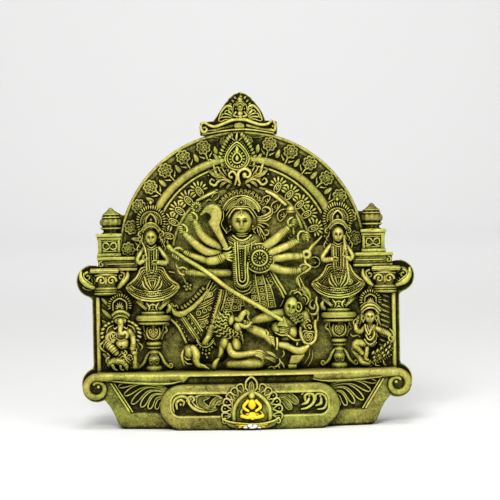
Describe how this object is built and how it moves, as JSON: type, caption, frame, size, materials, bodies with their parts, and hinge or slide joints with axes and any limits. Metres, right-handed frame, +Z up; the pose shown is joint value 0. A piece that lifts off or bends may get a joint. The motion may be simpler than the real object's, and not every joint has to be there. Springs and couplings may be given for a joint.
{
  "type": "relief showpiece",
  "caption": "High-relief casting of a many-armed goddess on a lion with her attendants under a flowered arch, in one piece with its bow-fronted plinth.",
  "frame": {"origin": "middle of the width and of the depth, on the underside that it stands on", "axes": "+X to the viewer's right along the plinth, +Y to the flat back, +Z up"},
  "size_m": [0.275, 0.06, 0.27],
  "materials": {
    "antique_gold": "satin"
  },
  "bodies": {
    "root": {"durga_casting": "antique_gold"}
  },
  "joints": []
}
